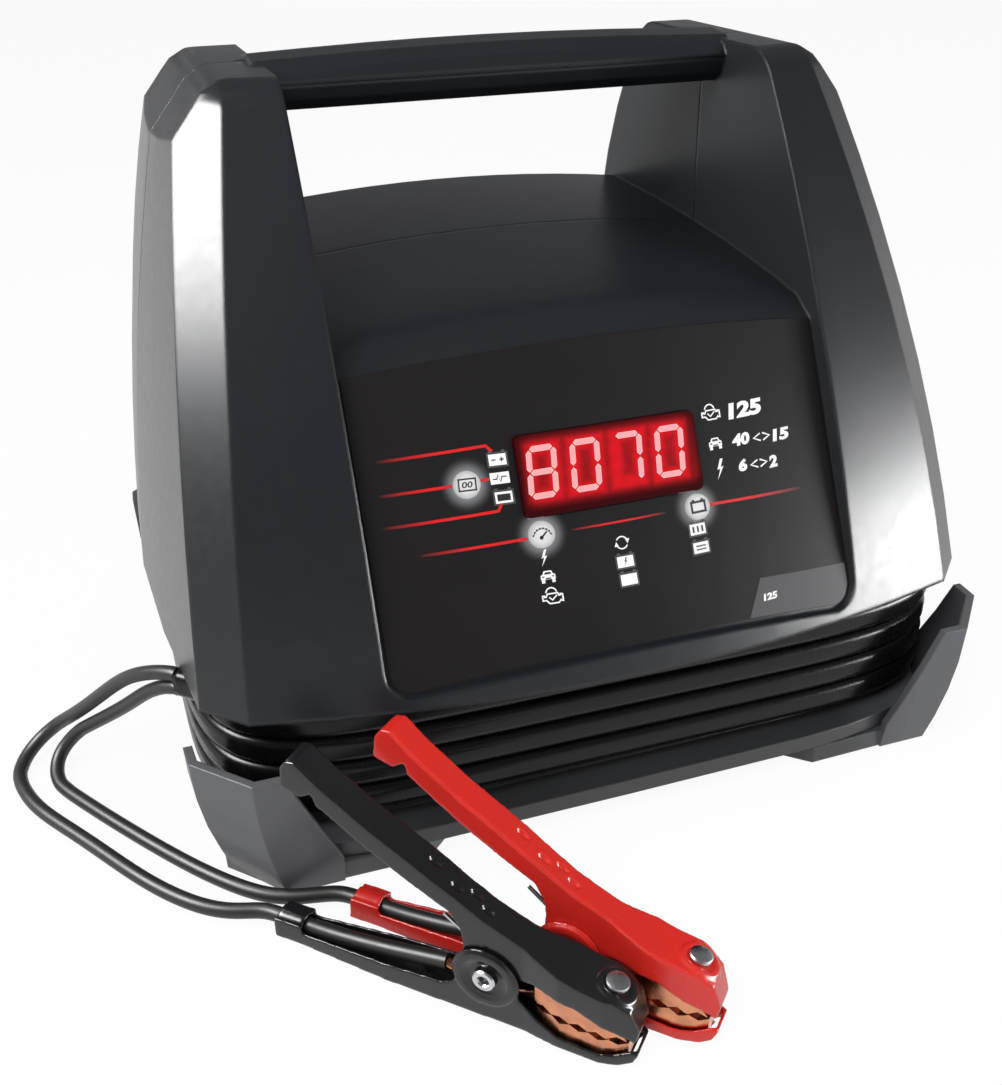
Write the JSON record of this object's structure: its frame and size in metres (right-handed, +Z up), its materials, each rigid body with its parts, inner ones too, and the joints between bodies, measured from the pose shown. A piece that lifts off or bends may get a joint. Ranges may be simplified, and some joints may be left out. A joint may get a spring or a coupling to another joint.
{
  "type": "car battery charger",
  "caption": "Portable car battery charger: moulded case with carry handle, sloping control panel, cable-wrap base with corner cleats, and two spring clamps on leads.",
  "frame": {"origin": "on the floor under the middle of the case", "axes": "+Z up, -Y towards the control panel, +X to the right of someone facing the panel"},
  "size_m": [0.4315, 0.4124, 0.2947],
  "materials": {
    "case_plastic": "satin moulded",
    "base_plastic": "satin moulded",
    "panel_film": "satin film",
    "display_lens": "clear red, polished",
    "button_white": "translucent",
    "black_rubber": "matt",
    "black_plastic": "moulded",
    "zinc_steel": "zinc plated",
    "copper": "copper plated steel",
    "board": "solder mask",
    "core_steel": "varnished laminations",
    "coil_wire": "insulating paper over copper wire",
    "aluminium": "extruded",
    "lead_jacket": "smooth, slightly glossy",
    "black_vinyl": "glossy vinyl coating over stamped steel",
    "red_vinyl": "glossy vinyl coating over stamped steel"
  },
  "bodies": {
    "charger": {"front_shell": "case_plastic", "rear_shell": "case_plastic", "control_panel": "panel_film", "display_lens": "display_lens", "display_module": "black_plastic", "control_board": "board", "base": "base_plastic", "corner_cleat_1": "base_plastic", "corner_cleat_2": "base_plastic", "corner_cleat_3": "base_plastic", "corner_cleat_4": "base_plastic", "foot_pad_1": "black_rubber", "foot_pad_2": "black_rubber", "foot_pad_3": "black_rubber", "foot_pad_4": "black_rubber", "base_screw_1": "zinc_steel", "base_screw_2": "zinc_steel", "base_screw_3": "zinc_steel", "base_screw_4": "zinc_steel", "case_screw_1": "zinc_steel", "case_screw_2": "zinc_steel", "case_screw_3": "zinc_steel", "case_screw_4": "zinc_steel", "transformer_core": "core_steel", "transformer_winding": "coil_wire", "rectifier_heatsink": "aluminium", "rectifier_block": "black_plastic", "fan_frame": "black_plastic", "mains_inlet_bushing": "black_rubber", "wound_lead": "lead_jacket", "black_clamp_lower": "black_vinyl", "black_clamp_pivot": "zinc_steel", "black_clamp_spring": "zinc_steel", "black_jaw_plate_lower": "copper", "red_clamp_lower": "red_vinyl", "red_clamp_pivot": "zinc_steel", "red_clamp_spring": "zinc_steel", "red_jaw_plate_lower": "copper", "black_lead": "lead_jacket", "red_lead": "lead_jacket"},
    "fan_rotor": {"fan_rotor": "black_plastic"},
    "button_display": {"button_display": "button_white"},
    "button_rate": {"button_rate": "button_white"},
    "button_type": {"button_type": "button_white"},
    "black_clamp_arm": {"black_clamp_upper": "black_vinyl", "black_jaw_plate_upper": "copper", "black_jaw_rivet": "zinc_steel"},
    "red_clamp_arm": {"red_clamp_upper": "red_vinyl", "red_jaw_plate_upper": "copper", "red_jaw_rivet": "zinc_steel"}
  },
  "joints": [
    {"name": "button_display_press", "type": "slide", "parent": "charger", "child": "button_display", "axis": [0.0891, 0.8859, -0.4553], "range_m": [0, 0.001], "stiffness_N_per_m": 300, "springref_m": -0.004},
    {"name": "button_rate_press", "type": "slide", "parent": "charger", "child": "button_rate", "axis": [0.0505, 0.8883, -0.4566], "range_m": [0, 0.001], "stiffness_N_per_m": 300, "springref_m": -0.004},
    {"name": "button_type_press", "type": "slide", "parent": "charger", "child": "button_type", "axis": [-0.0502, 0.8883, -0.4566], "range_m": [0, 0.001], "stiffness_N_per_m": 300, "springref_m": -0.004},
    {"name": "black_clamp_squeeze", "type": "hinge", "parent": "charger", "child": "black_clamp_arm", "pos_m": [-0.08825, -0.21751, 0.019], "axis": [-0.6934, -0.7206, 0], "range_deg": [0, 18], "stiffness_Nm_per_rad": 4, "springref_deg": -28.65, "deforming": ["black_clamp_spring"]},
    {"name": "red_clamp_squeeze", "type": "hinge", "parent": "charger", "child": "red_clamp_arm", "pos_m": [-0.05807, -0.21798, 0.01969], "axis": [-0.6896, -0.7166, 0.1045], "range_deg": [0, 25], "stiffness_Nm_per_rad": 4, "springref_deg": -28.65, "deforming": ["red_clamp_spring"]},
    {"name": "fan_spin", "type": "hinge", "parent": "charger", "child": "fan_rotor", "pos_m": [0.052, 0.12875, 0.14], "axis": [0, 1, 0], "continuous": true}
  ]
}
